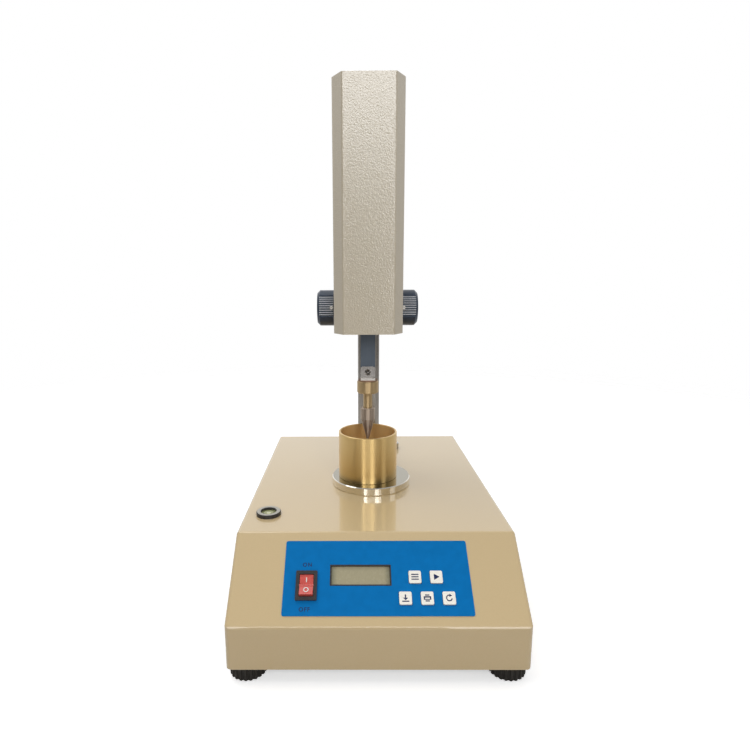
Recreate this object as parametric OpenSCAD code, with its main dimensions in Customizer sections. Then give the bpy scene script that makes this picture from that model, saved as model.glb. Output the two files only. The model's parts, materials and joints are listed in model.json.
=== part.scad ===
// Bench cone penetrometer for soil: a levelled base carries a post, a head that racks up and
// down the post, and a cone that drops from a magnet into the sample cup.
// The front is -Y, +X is to the right and the feet stand on Z = 0.

/* [Base housing] */
// Width of the housing
base_w = 212; // [200:1:240]
// Depth of the flat top, from the front fold to the back
top_d = 255; // [240:1:290]
// Run of the sloped front, front to back
slope_run = 52; // [48:1:60]
// Drop of the sloped front
slope_drop = 45; // [42:1:55]
// Height of the upright skirt under the slope
skirt_h = 32; // [26:1:45]
// Thickness of the folded sheet
sheet = 1.5; // [1:0.1:2]
// Outer radius of the folds
fold_r = 3; // [2.5:0.1:5]
// Radius of the upright corners
corner_r = 4; // [2.5:0.5:8]
// Thickness of the bottom plate
plate_t = 2; // [1.5:0.1:4]
// Width of the flange that the bottom plate is screwed to
flange_w = 12; // [10:1:16]
// Length left free of flange at each end, for the feet
flange_free = 40; // [36:1:60]
// Head diameter of the plate screws
plate_screw_d = 7; // [5:0.5:8]
// Head height of the plate screws
plate_screw_h = 2; // [1.5:0.1:3]

/* [Feet] */
// Height of a foot under the housing
foot_h = 10; // [8:0.5:16]
// Diameter of a foot over its ribs
foot_d = 26.5; // [20:0.5:28]
// Count of flutes round a foot
foot_flutes = 22; // [12:1:30]
// Radius of one flute
flute_r = 1.2; // [0.8:0.1:1.5]
// Distance of the foot's axis from the housing's side
foot_in_x = 13.5; // [12:0.5:20]
// Distance of the foot's axis from the housing's front and back
foot_in_y = 14; // [12:0.5:24]
// Diameter of the foot's stud
stud_d = 8; // [6:1:10]
// Height of the nut welded to the plate
nut_h = 8; // [5:1:12]
// Stud length that shows above the nut
stud_over = 4; // [1:1:10]

/* [Front panel] */
// Width of the panel sheet
panel_w = 134; // [130:1:160]
// Height of the panel sheet, along the slope
panel_h = 53.6; // [50:0.2:56]
// Thickness of the panel sheet
panel_t = 0.5; // [0.3:0.1:1]
// Corner radius of the panel sheet
panel_r = 1.5; // [0.5:0.5:4]
// Distance of the panel sheet from the fold
panel_s = 7.5; // [5:0.5:9]

/* [Power switch] */
// Place of the switch across the slope
switch_x = -50.5; // [-53:0.5:-49]
// Place of the switch down the slope, from the fold
switch_s = 40.6; // [36:0.2:42]
// Width of the switch frame
switch_w = 15.2; // [14:0.1:17]
// Height of the switch frame
switch_h = 20.6; // [20:0.1:23]
// How far the frame stands above the panel
switch_proud = 2; // [1.5:0.1:3]
// Wall of the switch body
switch_wall = 1.4; // [1.2:0.1:1.6]
// Depth of the switch body under the slope
switch_deep = 20; // [14:1:24]
// Width of the rocker
rocker_w = 9.7; // [9:0.1:10]
// Length of the rocker
rocker_l = 14.8; // [13:0.1:15]
// Tilt of the rocker each way
rocker_tilt = 10; // [6:1:12]
// Diameter of the rocker's pivot pins
rocker_pin_d = 2.4; // [1.8:0.1:3]

/* [Display and keys] */
// Width of the display window
display_w = 42.4; // [38:0.2:46]
// Height of the display window
display_h = 13.4; // [12:0.2:18]
// Place of the display across the slope
display_x = -11.8; // [-14:0.2:-10]
// Place of the display down the slope
display_s = 33; // [30:0.5:36]
// Width of the dark frame round the window
display_rim = 0.8; // [0.6:0.1:1.6]
// Depth of the display's face below the slope
display_sunk = 1; // [0.6:0.1:1.4]
// Side of a square key
key_w = 8.8; // [8:0.1:9.5]
// Pitch of the keys in a row
key_pitch = 15.3; // [14:0.1:16]
// Middle key of the lower row, across the slope
key_x = 34.8; // [33:0.2:37]
// Upper row of keys, down the slope
key_s = 34.6; // [33:0.2:36]
// Distance between the two rows
key_row = 14.7; // [13.5:0.1:15.5]
// How far a key stands above the panel
key_proud = 1.1; // [0.8:0.1:2]
// Travel of a key
key_travel = 0.6; // [0.3:0.1:0.8]
// Depth of the panel board under the slope's sheet
board_drop = 6.5; // [6:0.1:9]
// Thickness of the circuit boards
board_t = 1.6; // [1:0.1:2]

/* [Spirit level] */
// Distance of the level's axis from the housing's side
level_in = 20; // [18:0.5:36]
// Distance of the level behind the fold
level_back = 31.5; // [20:0.5:60]
// Diameter of the level's rim
level_d = 20; // [16:0.5:24]
// Height of the rim
level_h = 3; // [1.5:0.1:4]
// Depth of the level's body under the top
level_deep = 7; // [5:0.5:12]
// Diameter of the vial
vial_d = 12; // [10:0.5:15]

/* [Sample stand and cup] */
// Distance of the cup's axis behind the fold
cup_back = 103.8; // [90:0.2:120]
// Diameter of the stand
stand_d = 72.6; // [64:0.2:80]
// Thickness of the stand
stand_t = 7.1; // [5:0.1:10]
// Diameter of the stand's stem
stem_d = 20; // [12:1:26]
// Inside diameter of the cup
cup_id = 50; // [40:0.5:55]
// Wall of the cup
cup_wall = 2; // [1.5:0.1:3]
// Inside depth of the cup
cup_depth = 40; // [36:0.5:50]
// Thickness of the cup's floor
cup_floor = 2.5; // [1.5:0.1:5]

/* [Cone] */
// Place of the cone, cup and head across the base
cone_x = -3; // [-6:0.5:6]
// Angle at the cone's tip
cone_angle = 30; // [28:1:60]
// Diameter of the cone at its top
cone_d = 12; // [10:0.1:16]
// How far the tip hangs below the cup's rim
tip_dip = 11.4; // [5:0.1:14]
// Drop of the cone when it is let go
drop = 22; // [10:1:24]
// Diameter of the steel body over the cone
shank_d = 13.2; // [12.4:0.1:18]
// Length of the steel body over the cone
shank_len = 11.4; // [8:0.1:16]
// Diameter of the brass neck
neck_d = 8.2; // [6:0.1:10]
// Length of the brass neck that shows
neck_len = 14.3; // [8:0.1:20]
// Diameter of the brass collar
collar_d = 19.5; // [15:0.5:26]
// Length of the brass collar
collar_len = 10.9; // [8:0.1:16]
// Diameter of the threads inside the collar and the shank
thread_d = 5; // [3:0.5:5.5]
// Thickness of the washer on the collar
washer_t = 1.2; // [0.8:0.1:2]
// Diameter of the washer on the collar
washer_d = 18; // [14:0.5:20]
// Thickness of the hanger's steel
hanger_t = 1.6; // [1:0.1:2]
// Height of the hanger
hanger_h = 12.2; // [9:0.1:16]
// Depth of the hanger's foot
hanger_d = 13; // [9:0.5:14]
// Width of the strip and of the hanger
strip_w = 13; // [11:0.1:16]
// Thickness of the strip
strip_t = 2.4; // [1.6:0.1:3]

/* [Post and rack] */
// Place of the post across the base
post_x = -1; // [-3:0.5:3]
// Width of the post
post_w = 21; // [18:0.5:24]
// Depth of the post
post_d = 20; // [16:0.5:26]
// Wall of the hollow post
post_wall = 4; // [2.5:0.5:5]
// Radius of the post's edges
post_r = 6; // [0.5:0.5:6.5]
// Gap between the stand and the post
post_gap = 2; // [1:0.5:10]
// Length of post above the head's carriage at the top of its travel
post_spare = 10; // [2:1:20]
// Height of the socket that holds the post
socket_h = 40; // [25:1:50]
// Wall of the socket round the post
socket_wall = 9; // [6:1:12]
// Thickness of the socket's foot
socket_t = 6; // [4:1:10]
// Module of the rack and pinion
gear_m = 1; // [0.8:0.1:1.2]
// Teeth of the pinion
pinion_teeth = 18; // [18:1:22]
// Width of the teeth
gear_w = 8; // [6:0.5:9]
// Play between the teeth
backlash = 0.16; // [0.1:0.02:0.3]
// Back of the rack, behind its teeth
rack_back = 2.75; // [2:0.25:4]

/* [Head] */
// Lift of the head above its rest
lift = 60; // [40:1:80]
// Height of the cover's lower edge above the base
cover_gap = 142; // [138:1:160]
// Height of the cover
cover_h = 206; // [195:1:240]
// Width of the cover
cover_w = 60; // [54:1:70]
// Distance of the cover's front ahead of the cone
cover_front = 28; // [20:1:36]
// Width of the front chamfers
chamfer_w = 8.25; // [5:0.25:12]
// Depth of the front chamfers
chamfer_d = 13.5; // [8:0.5:16]
// Height of the carriage
carriage_h = 64; // [54:1:80]
// Wall of the carriage behind the post
carriage_wall = 11; // [8:1:16]
// Distance of the carriage's front behind the cone
carriage_front = 8; // [6:0.5:10]
// Height of the carriage's foot above the cover's lower edge
carriage_up = 2; // [0.5:0.5:5]
// Diameter of the magnet
magnet_d = 28; // [22:1:32]
// Height of the magnet
magnet_h = 26; // [18:1:36]
// Diameter of the magnet's core
core_d = 12; // [8:1:16]
// Diameter of the armature on the strip
armature_d = 16; // [14:1:20]
// Thickness of the armature
armature_t = 5; // [3:0.5:8]
// Room under the armature at the end of its drop
armature_room = 10; // [6:1:16]
// Thickness of the bracket's plate
bracket_t = 3; // [2:0.5:4]

/* [Knobs] */
// Height of the knobs' axis above the cover's lower edge
knob_up = 20; // [18:0.5:24]
// Diameter of a knob over its ribs
knob_d = 33; // [28:0.5:34]
// Length of a knob
knob_len = 15; // [12:0.5:20]
// Count of ribbed grips round a knob, with plain stretches between them
knob_grips = 3; // [2:1:4]
// Count of ribs in a grip
grip_ribs = 9; // [5:1:10]
// Angle from one rib to the next
rib_step = 7.5; // [6:0.5:9]
// Depth of the grooves between the ribs
rib_h = 0.8; // [0.4:0.1:1.2]
// Chamfer round a knob's outer face
knob_chamfer = 2.6; // [1:0.1:4]
// Diameter of the shaft
shaft_d = 8; // [6:0.5:9]
// Diameter of the bushes
bush_d = 12; // [11:0.5:14]
// Length of a bush from the cover's side inwards
bush_len = 14; // [8:1:16]
// Thickness of a bush's flange
bush_flange = 1; // [0.6:0.1:2]

/* [Back] */
// Height of the sockets' row above the bottom edge
socket_up = 40; // [34:1:50]
// Place of the power inlet across the back
inlet_x = -60; // [-66:1:-50]
// Width of the inlet's flange
inlet_w = 50; // [46:1:54]
// Height of the inlet's flange
inlet_h = 24; // [23:0.5:28]
// How far the inlet's flange stands out
inlet_proud = 3; // [2:0.5:4]
// Place of the fuse holder across the back
fuse_x = -18; // [-24:1:-10]
// Diameter of the fuse holder's cap
fuse_d = 15; // [13:0.5:18]
// Place of the printer port across the back
port_x = 55; // [40:1:65]
// How far the printer port stands out
port_proud = 5.8; // [5:0.2:7]

/* [Clearances] */
// Gap between flat faces that slide
slide_gap = 0.25; // [0.15:0.05:0.3]
// Gap between a pin and its hole
pin_gap = 0.06; // [0.03:0.01:0.1]
// Gap between fixed pieces
seat_gap = 0.1; // [0.05:0.05:0.2]

/* [Hidden] */

$fn = 64;
// Straight pieces that an arc of an outline is drawn with
arc_steps = 6;
// Overrun of a cutting shape past the face that it cuts
over = 1;

// Width over a nut's corners, as a share of its thread
hex_ratio = 1.85;

// Main planes of the base
slope_a = atan2(slope_drop, slope_run);
base_d = top_d + slope_run;
y_front = -(base_d + max(inlet_proud, port_proud)) / 2;
y_fold = y_front + slope_run;
y_back = y_front + base_d;
y_mid = (y_front + y_back) / 2;
z_low = foot_h;
z_plate = z_low + plate_t;
z_top = z_low + skirt_h + slope_drop;

// Cone line, from the tip up
cone_y = y_fold + cup_back;
cup_z = z_top + stand_t;
cup_h = cup_floor + cup_depth;
cup_d = cup_id + 2 * cup_wall;
tip_z = cup_z + cup_h - tip_dip;
shank_z = tip_z + cone_d / 2 / tan(cone_angle / 2);
neck_z = shank_z + shank_len;
collar_z = neck_z + neck_len;
washer_z = collar_z + collar_len;
hanger_z = washer_z + washer_t;
strip_z = hanger_z + hanger_t;

// Head, post and drive
cover_z = z_top + cover_gap;
cover_top = cover_z + cover_h;
carriage_z = cover_z + carriage_up;
carriage_top = carriage_z + carriage_h;
post_y = cone_y + stand_d / 2 + post_gap;
post_top = carriage_top + lift + post_spare;
carriage_back = post_y + post_d + slide_gap + carriage_wall;
cover_back = carriage_back + seat_gap + sheet;
carriage_w = cover_w - 2 * (sheet + seat_gap);
strip_top = carriage_top + drop + armature_room;
magnet_z = strip_top + armature_t + slide_gap;
bracket_top = magnet_z + magnet_h + bracket_t;
bracket_y = cone_y + magnet_d / 2 + bracket_t;

// Rack and pinion: the pitch line lies between the rack and the shaft
pitch_r = gear_m * pinion_teeth / 2;
tooth_out = gear_m;
tooth_in = 1.25 * gear_m;
tooth_pitch = PI * gear_m;
pressure_a = 20;
pitch_y = post_y - rack_back - tooth_in;
knob_y = pitch_y - pitch_r;
knob_z = cover_z + knob_up;
pinion_gap = 0.6;
pinion_room = pitch_r + tooth_out + pinion_gap;
rack_over = 5;

// Keys as places across and down the slope, lower row from the left, then the upper row
key_low_s = key_s + key_row;
key_places = [[key_x - key_pitch / 2, key_s], [key_x + key_pitch / 2, key_s],
    [key_x - key_pitch, key_low_s], [key_x, key_low_s], [key_x + key_pitch, key_low_s]];
key_lip = 0.9;
key_lip_t = 0.8;
key_stem_d = 3.4;
tact_w = 6;
tact_h = 3.2;
board_n = -sheet - board_drop;
tact_n = board_n + tact_h;

// Unit vector along v
function unit(v) = v / norm(v);
// Half the angle of an outline's corner i
function half_angle(p, i) = let (n = len(p), a = unit(p[(i + n - 1) % n] - p[i]),
    b = unit(p[(i + 1) % n] - p[i])) acos(a * b) / 2;
// Direction from an outline's corner i to its inside
function inward(p, i) = let (n = len(p), a = unit(p[(i + n - 1) % n] - p[i]),
    b = unit(p[(i + 1) % n] - p[i])) unit(a + b);
// Convex outline moved inwards by d
function inset(p, d) = [for (i = [0:len(p) - 1]) p[i] + inward(p, i) * d / sin(half_angle(p, i))];
// Arc round an outline's corner i, from one side to the next
function corner_arc(p, i, r) = let (n = len(p), h = half_angle(p, i),
    c = p[i] + inward(p, i) * r / sin(h),
    a = p[i] + unit(p[(i + n - 1) % n] - p[i]) * r / tan(h) - c,
    b = p[i] + unit(p[(i + 1) % n] - p[i]) * r / tan(h) - c,
    a0 = atan2(a.y, a.x), turn = (atan2(b.y, b.x) - a0 + 540) % 360 - 180)
    [for (k = [0:arc_steps]) c + r * [cos(a0 + turn * k / arc_steps), sin(a0 + turn * k / arc_steps)]];
// Convex outline with its corners rounded by the radii in r
function rounded(p, r) = [for (i = [0:len(p) - 1]) each r[i] > 0 ? corner_arc(p, i, r[i]) : [p[i]]];
// Rectangle about the origin, with round corners
function slab(w, h, r) = rounded([[-w / 2, -h / 2], [w / 2, -h / 2], [w / 2, h / 2], [-w / 2, h / 2]],
    [r, r, r, r]);

// Block with round upright edges, from z up by h
module block(w, d, h, r = 0) {
    linear_extrude(h) polygon(slab(w, d, r));
}

// Children on the slope: x across, s down from the fold, n out of the sheet
module on_slope(x, s, n = 0) {
    translate([0, y_fold, z_top]) rotate([slope_a, 0, 0]) translate([x, -s, n]) children();
}

// Children on the cone's line at height z
module on_cone(z) {
    translate([cone_x, cone_y, z]) children();
}

// Children on the back at x, with their Z pointing out of the back
module on_back(x) {
    translate([x, y_back, z_low + socket_up]) rotate([-90, 0, 0]) children();
}

// Children about the knobs' axis, with their Z along +X from the head's middle
module on_axle(x = cone_x) {
    translate([x, knob_y, knob_z]) rotate([0, 90, 0]) children();
}

// Round piece drawn as a half outline
module turned(half) {
    rotate_extrude() polygon(half);
}

// Side outline of the housing, with its lower edge let down
function housing_side(down) = [[y_front, z_low - down], [y_back, z_low - down], [y_back, z_top],
    [y_fold, z_top], [y_front, z_low + skirt_h]];

// Outline across the housing, seen along a face: the face is at the top, with round edges
function across_face(w, deep, r) = rounded([[-w / 2, -deep], [w / 2, -deep], [w / 2, 0], [-w / 2, 0]],
    [0, 0, r, r]);

// Housing as a block, made smaller by t: its side outline, its plan, and the round side edges of
// the flat top and of the slope
module housing_block(t) {
    r = fold_r - t;
    w = base_w - 2 * t;
    side = inset(housing_side(2 * t), t);
    intersection() {
        rotate([90, 0, 90]) linear_extrude(w, center = true) polygon(rounded(side, [0, 0, r, r, r]));
        translate([0, y_mid, 0]) block(w, base_d - 2 * t, z_top + over, corner_r - t);
        translate([0, y_back + over, z_top - t]) rotate([90, 0, 0]) linear_extrude(base_d + 2 * over)
            polygon(across_face(w, z_top + over, r));
        on_slope(0, 0, -t) rotate([90, 0, 0]) linear_extrude(2 * base_d, center = true)
            polygon(across_face(w, 2 * base_d, r));
    }
}

// Places of the plate screws, along the flanges
flange_len = base_d - 2 * flange_free;
flange_x = base_w / 2 - sheet - flange_w / 2;
plate_screw_places = [for (side = [-1, 1]) for (k = [-1, 0, 1])
    [side * flange_x, y_mid + k * (flange_len / 2 - flange_w)]];
plate_screw_r = plate_screw_d / 4;

// Folded cover of the base, with the flanges that its bottom plate is screwed to
module base_cover() {
    color("tan") difference() {
        union() {
            difference() {
                housing_block(0);
                housing_block(sheet);
            }
            for (side = [-1, 1])
                translate([side * flange_x, y_mid, z_plate + seat_gap])
                    block(flange_w, flange_len, sheet);
        }
        cover_cuts();
        for (p = plate_screw_places)
            translate([p.x, p.y, z_low]) cylinder(r = plate_screw_r, h = plate_t + sheet + over);
    }
}

// Holes in the cover for what goes through it
module cover_cuts() {
    deep = 3 * sheet;
    on_slope(switch_x, switch_s, -deep) block(switch_body_w + 2 * seat_gap,
        switch_body_h + 2 * seat_gap, 2 * deep);
    on_slope(display_x, display_s, -deep) block(display_rim_w + 2 * seat_gap,
        display_rim_h + 2 * seat_gap, 2 * deep);
    for (p = key_places)
        on_slope(p[0], p[1], -deep) block(key_hole, key_hole, 2 * deep, key_r);
    translate([level_x, y_fold + level_back, z_top - deep])
        cylinder(d = level_body_d + 2 * seat_gap, h = 2 * deep);
    translate([plug_x, plug_y, z_top - deep]) cylinder(d = plug_stem_d + 2 * seat_gap, h = 2 * deep);
    translate([0, cone_y, z_top - deep]) cylinder(d = stem_d + 2 * seat_gap, h = 2 * deep);
    translate([post_x, post_y + post_d / 2, z_top - deep])
        block(post_w + 2 * seat_gap, post_d + 2 * seat_gap, 2 * deep, post_r);
    on_back(inlet_x) translate([0, 0, -deep])
        block(inlet_body_w + 2 * seat_gap, inlet_body_h + 2 * seat_gap, 2 * deep);
    on_back(fuse_x) translate([0, 0, -deep]) cylinder(d = fuse_body_d + 2 * seat_gap, h = 2 * deep);
    on_back(port_x) translate([0, 0, -deep])
        block(port_body_w + 2 * seat_gap, port_body_h + 2 * seat_gap, 2 * deep);
}

// Floor of the base
module bottom_plate() {
    lost = 2 * (sheet + seat_gap);
    color("silver") difference() {
        translate([0, y_mid, z_low]) block(base_w - lost, base_d - lost, plate_t, corner_r - sheet);
        for (p = foot_places)
            translate([p.x, p.y, z_low - over]) cylinder(d = stud_d + stud_room, h = plate_t + 2 * over);
        for (p = plate_screw_places)
            translate([p.x, p.y, z_low - over]) cylinder(r = plate_screw_r, h = plate_t + 2 * over);
        for (p = bolt_places)
            translate([p.x, p.y, z_low - over]) cylinder(d = bolt_d, h = plate_t + 2 * over);
    }
}

// Screws that hold the plate to the cover's flanges, heads below
module plate_screws() {
    color("silver") for (p = plate_screw_places)
        translate([p.x, p.y, z_low]) {
            mirror([0, 0, 1]) turned([[0, 0], [plate_screw_d / 2, 0], [plate_screw_d / 2, plate_screw_h / 2],
                [plate_screw_d / 3, plate_screw_h], [0, plate_screw_h]]);
            cylinder(r = plate_screw_r, h = plate_t + seat_gap + sheet);
        }
}

foot_x = base_w / 2 - foot_in_x;
foot_y0 = y_front + foot_in_y;
foot_y1 = y_back - foot_in_y;
// Room for a stud in the plate
stud_room = 1;
foot_edge = 0.4;
foot_places = [[-foot_x, foot_y0], [foot_x, foot_y0], [-foot_x, foot_y1], [foot_x, foot_y1]];

// Fluted foot with its stud
module foot(p) {
    knob_h = foot_h - slide_gap;
    color("black") translate([p.x, p.y, 0]) {
        difference() {
            turned([[0, 0], [foot_d / 2 - foot_edge, 0], [foot_d / 2, foot_edge], [foot_d / 2, knob_h],
                [0, knob_h]]);
            for (k = [1:foot_flutes])
                rotate(k * 360 / foot_flutes) translate([foot_d / 2, 0, -over])
                    cylinder(r = flute_r, h = foot_h + over, $fn = 24);
        }
        translate([0, 0, knob_h]) cylinder(d = stud_d, h = slide_gap + plate_t + nut_h + stud_over);
    }
}

module foot_front_left() { foot(foot_places[0]); }
module foot_front_right() { foot(foot_places[1]); }
module foot_back_left() { foot(foot_places[2]); }
module foot_back_right() { foot(foot_places[3]); }

// Nuts on the plate that the feet turn in
module foot_nuts() {
    color("silver") for (p = foot_places)
        translate([p.x, p.y, z_plate]) difference() {
            cylinder(d = hex_ratio * stud_d, h = nut_h, $fn = 6);
            translate([0, 0, -over]) cylinder(d = stud_d + 2 * pin_gap, h = nut_h + 2 * over);
        }
}

key_hole = key_w + 2 * slide_gap;
key_r = 1;
panel_mid = panel_s + panel_h / 2;

// Printed sheet on the slope, cut out for the switch, the display and the keys
module panel_overlay() {
    color("royalblue") difference() {
        on_slope(0, panel_mid) block(panel_w, panel_h, panel_t, panel_r);
        on_slope(switch_x, switch_s, -over) block(switch_body_w + 2 * seat_gap,
            switch_body_h + 2 * seat_gap, panel_t + 2 * over);
        on_slope(display_x, display_s, -over) block(display_rim_w + 2 * seat_gap,
            display_rim_h + 2 * seat_gap, panel_t + 2 * over);
        for (p = key_places)
            on_slope(p[0], p[1], -over) block(key_hole, key_hole, panel_t + 2 * over, key_r);
    }
}

rocker_half = rocker_l / 2;
rocker_rise = rocker_half * tan(rocker_tilt);
rocker_deep = 4.6;
rocker_up = 0.7;
rocker_n = panel_t + rocker_up;
rocker_crown = 0.5;
rocker_side = 1.2;
rocker_nose = 0.55 * rocker_half;
well_room = 1;
well_w = rocker_w + 2 * slide_gap;
well_h = 2 * (norm([rocker_half, rocker_rise + rocker_crown]) + slide_gap);
well_floor = -rocker_half - well_room;
switch_body_w = well_w + 2 * switch_wall;
switch_body_h = well_h + 2 * switch_wall;

// Frame and body of the switch, with the well that the rocker turns in
module switch_body() {
    color("dimgray") on_slope(switch_x, switch_s) difference() {
        union() {
            translate([0, 0, panel_t]) block(switch_w, switch_h, switch_proud, 0.6);
            translate([0, 0, -switch_deep]) block(switch_body_w, switch_body_h, switch_deep + panel_t);
        }
        translate([0, 0, well_floor]) block(well_w, well_h, switch_deep);
        translate([0, 0, rocker_n]) rotate([0, 90, 0])
            cylinder(d = rocker_pin_d + 2 * pin_gap, h = switch_body_w - switch_wall, center = true);
    }
}

// Rocker, resting with its upper end pressed in
module rocker() {
    end_up = rocker_crown + rocker_rise;
    side = [[-rocker_half, end_up], [-rocker_half, -rocker_side], [-rocker_nose, -rocker_deep],
        [rocker_nose, -rocker_deep], [rocker_half, -rocker_side], [rocker_half, end_up], [0, rocker_crown]];
    color("firebrick") on_slope(switch_x, switch_s, rocker_n) rotate([-rocker_tilt, 0, 0]) {
        rotate([90, 0, 90]) linear_extrude(rocker_w, center = true) polygon(side);
        rotate([0, 90, 0])
            cylinder(d = rocker_pin_d, h = switch_body_w - switch_wall - 2 * slide_gap, center = true);
    }
}

display_rim_w = display_w + 2 * display_rim;
display_rim_h = display_h + 2 * display_rim;

// Dark frame that lines the display's window, with a lip behind the sheet
module display_frame() {
    lip = 3;
    lip_t = 1.2;
    color("dimgray") on_slope(display_x, display_s) difference() {
        union() {
            translate([0, 0, -sheet - lip_t]) block(display_rim_w + lip, display_rim_h + lip, lip_t);
            translate([0, 0, -sheet]) block(display_rim_w, display_rim_h, sheet + panel_t);
        }
        translate([0, 0, -sheet - lip_t - over])
            block(display_w, display_h, sheet + lip_t + panel_t + 2 * over);
    }
}

// Display, standing on the panel board
module display_glass() {
    color("darkkhaki") on_slope(display_x, display_s, board_n)
        block(display_w - 2 * seat_gap, display_h - 2 * seat_gap, -board_n - display_sunk);
}

board_edge = 9;
board_rim = 6.5;
board_left = display_x - display_w / 2 - board_edge;
board_right = key_x + key_pitch + key_w / 2 + board_edge;
panel_board_w = board_right - board_left;
panel_board_h = key_row + key_w + 2 * board_rim;
panel_board_x = (board_left + board_right) / 2;
panel_board_s = key_s + key_row / 2;
spacer_d = 5;
spacer_edge = 3;
panel_spacer_places = [for (i = [-1, 1]) for (j = [-1, 1])
    [panel_board_x + i * (panel_board_w / 2 - spacer_edge),
        panel_board_s + j * (panel_board_h / 2 - spacer_edge)]];

// Board behind the panel
module panel_board() {
    color("darkgreen") on_slope(panel_board_x, panel_board_s, board_n - board_t)
        block(panel_board_w, panel_board_h, board_t, 1);
}

// Switches under the keys
module key_switches() {
    color("dimgray") for (p = key_places)
        on_slope(p[0], p[1], board_n) difference() {
            block(tact_w, tact_w, tact_h);
            translate([0, 0, tact_h - key_travel - 1.4])
                cylinder(d = key_stem_d + 4 * pin_gap, h = tact_h);
        }
}

// Key cap with the lip that keeps it in and the stem that reaches its switch
module key(i) {
    p = key_places[i];
    lip_n = -sheet - slide_gap - key_lip_t;
    color("white") on_slope(p[0], p[1]) {
        translate([0, 0, lip_n]) block(key_w, key_w, key_proud + panel_t - lip_n, key_r);
        translate([0, 0, lip_n]) block(key_w + 2 * key_lip, key_w + 2 * key_lip, key_lip_t, key_r);
        translate([0, 0, tact_n - 1]) cylinder(d = key_stem_d, h = lip_n - tact_n + 1);
    }
}

module key_set() { key(0); }
module key_start() { key(1); }
module key_store() { key(2); }
module key_print() { key(3); }
module key_reset() { key(4); }

level_x = level_in - base_w / 2;
level_wall = 1;
level_edge = 0.6;
vial_sunk = 1.1;
level_body_d = vial_d + 2 * level_wall;

// Rim and body of the spirit level
module level_ring() {
    color("black") translate([level_x, y_fold + level_back, z_top])
        turned([[0, -level_deep], [level_body_d / 2, -level_deep], [level_body_d / 2, 0], [level_d / 2, 0],
            [level_d / 2, level_h - level_edge], [level_d / 2 - level_edge, level_h],
            [vial_d / 2 + level_edge, level_h], [vial_d / 2, level_h - level_edge],
            [vial_d / 2, level_wall - level_deep], [0, level_wall - level_deep]]);
}

// Vial of the spirit level, domed a little on top
module level_vial() {
    r = vial_d / 2 - seat_gap;
    dome = 0.5;
    edge = level_h - level_edge - vial_sunk;
    color("yellowgreen") translate([level_x, y_fold + level_back, z_top])
        turned([[0, level_wall - level_deep], [r, level_wall - level_deep], [r, edge],
            for (k = [1:arc_steps]) [r * (1 - k / arc_steps), edge + dome * sin(90 * k / arc_steps)]]);
}

plug_x = 29;
plug_back = 103;
plug_y = cone_y + plug_back;
plug_d = 12;
plug_h = 7;
plug_edge = 1;
plug_stem_d = 8;
plug_deep = 4.5;

// Plug in the base's top, behind the cup
module hole_plug() {
    color("silver") translate([plug_x, plug_y, z_top])
        turned([[0, -plug_deep], [plug_stem_d / 2, -plug_deep], [plug_stem_d / 2, 0], [plug_d / 2, 0],
            [plug_d / 2, plug_h - plug_edge], [plug_d / 2 - plug_edge, plug_h], [0, plug_h]]);
}

stem_below = 14;
stem_len = sheet + stem_below;
stand_edge = 0.7;

// Bright plate that the cup stands on, with its stem
module sample_stand() {
    color("silver") translate([0, cone_y, z_top])
        turned([[0, -stem_len], [stem_d / 2, -stem_len], [stem_d / 2, 0], [stand_d / 2 - stand_edge, 0],
            [stand_d / 2, stand_edge], [stand_d / 2, stand_t - stand_edge],
            [stand_d / 2 - stand_edge, stand_t], [0, stand_t]]);
}

// Ring nut on the stem, under the cover
module stand_nut() {
    nut_t = 7;
    nut_wall = 7;
    color("silver") translate([0, cone_y, z_top - sheet - nut_t]) difference() {
        cylinder(d = stem_d + 2 * nut_wall, h = nut_t);
        translate([0, 0, -over]) cylinder(d = stem_d + 2 * pin_gap, h = nut_t + 2 * over);
    }
}

// Cup for the sample
module sample_cup() {
    rim = 0.3;
    color("goldenrod") on_cone(cup_z)
        turned([[0, 0], [cup_d / 2 - rim, 0], [cup_d / 2, rim], [cup_d / 2, cup_h - rim],
            [cup_d / 2 - rim, cup_h], [cup_id / 2 + rim, cup_h], [cup_id / 2, cup_h - rim],
            [cup_id / 2, cup_floor], [0, cup_floor]]);
}

// Hollow post
module post() {
    color("silver") translate([post_x, post_y + post_d / 2, z_plate]) difference() {
        block(post_w, post_d, post_top - z_plate, post_r);
        translate([0, 0, -over])
            block(post_w - 2 * post_wall, post_d - 2 * post_wall, post_top - z_plate + 2 * over, 1);
    }
}

bolt_d = 6;
socket_foot = 16;
socket_w = post_w + 2 * socket_wall;
socket_d = post_d + 2 * socket_wall;
bolt_places = [for (i = [-1, 1]) for (j = [-1, 1])
    [post_x + i * (socket_w + socket_foot) / 2, post_y + post_d / 2 + j * (socket_d - bolt_d) / 2]];

// Socket on the bottom plate that the post stands in
module post_socket() {
    color("dimgray") difference() {
        translate([post_x, post_y + post_d / 2, z_plate]) {
            block(socket_w + 2 * socket_foot, socket_d + bolt_d, socket_t, 4);
            block(socket_w, socket_d, socket_h, 3);
        }
        translate([post_x, post_y + post_d / 2, z_plate - over])
            block(post_w + 2 * seat_gap, post_d + 2 * seat_gap, socket_h + 2 * over, post_r);
        for (p = bolt_places)
            translate([p.x, p.y, z_plate - over]) cylinder(d = bolt_d, h = socket_t + 2 * over);
    }
}

// Bolts through the socket's foot and the plate
module socket_bolts() {
    color("silver") for (p = bolt_places)
        translate([p.x, p.y, z_low]) {
            cylinder(d = bolt_d, h = plate_t + socket_t);
            translate([0, 0, plate_t + socket_t]) cylinder(d = hex_ratio * bolt_d, h = 0.7 * bolt_d, $fn = 6);
        }
}

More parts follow.
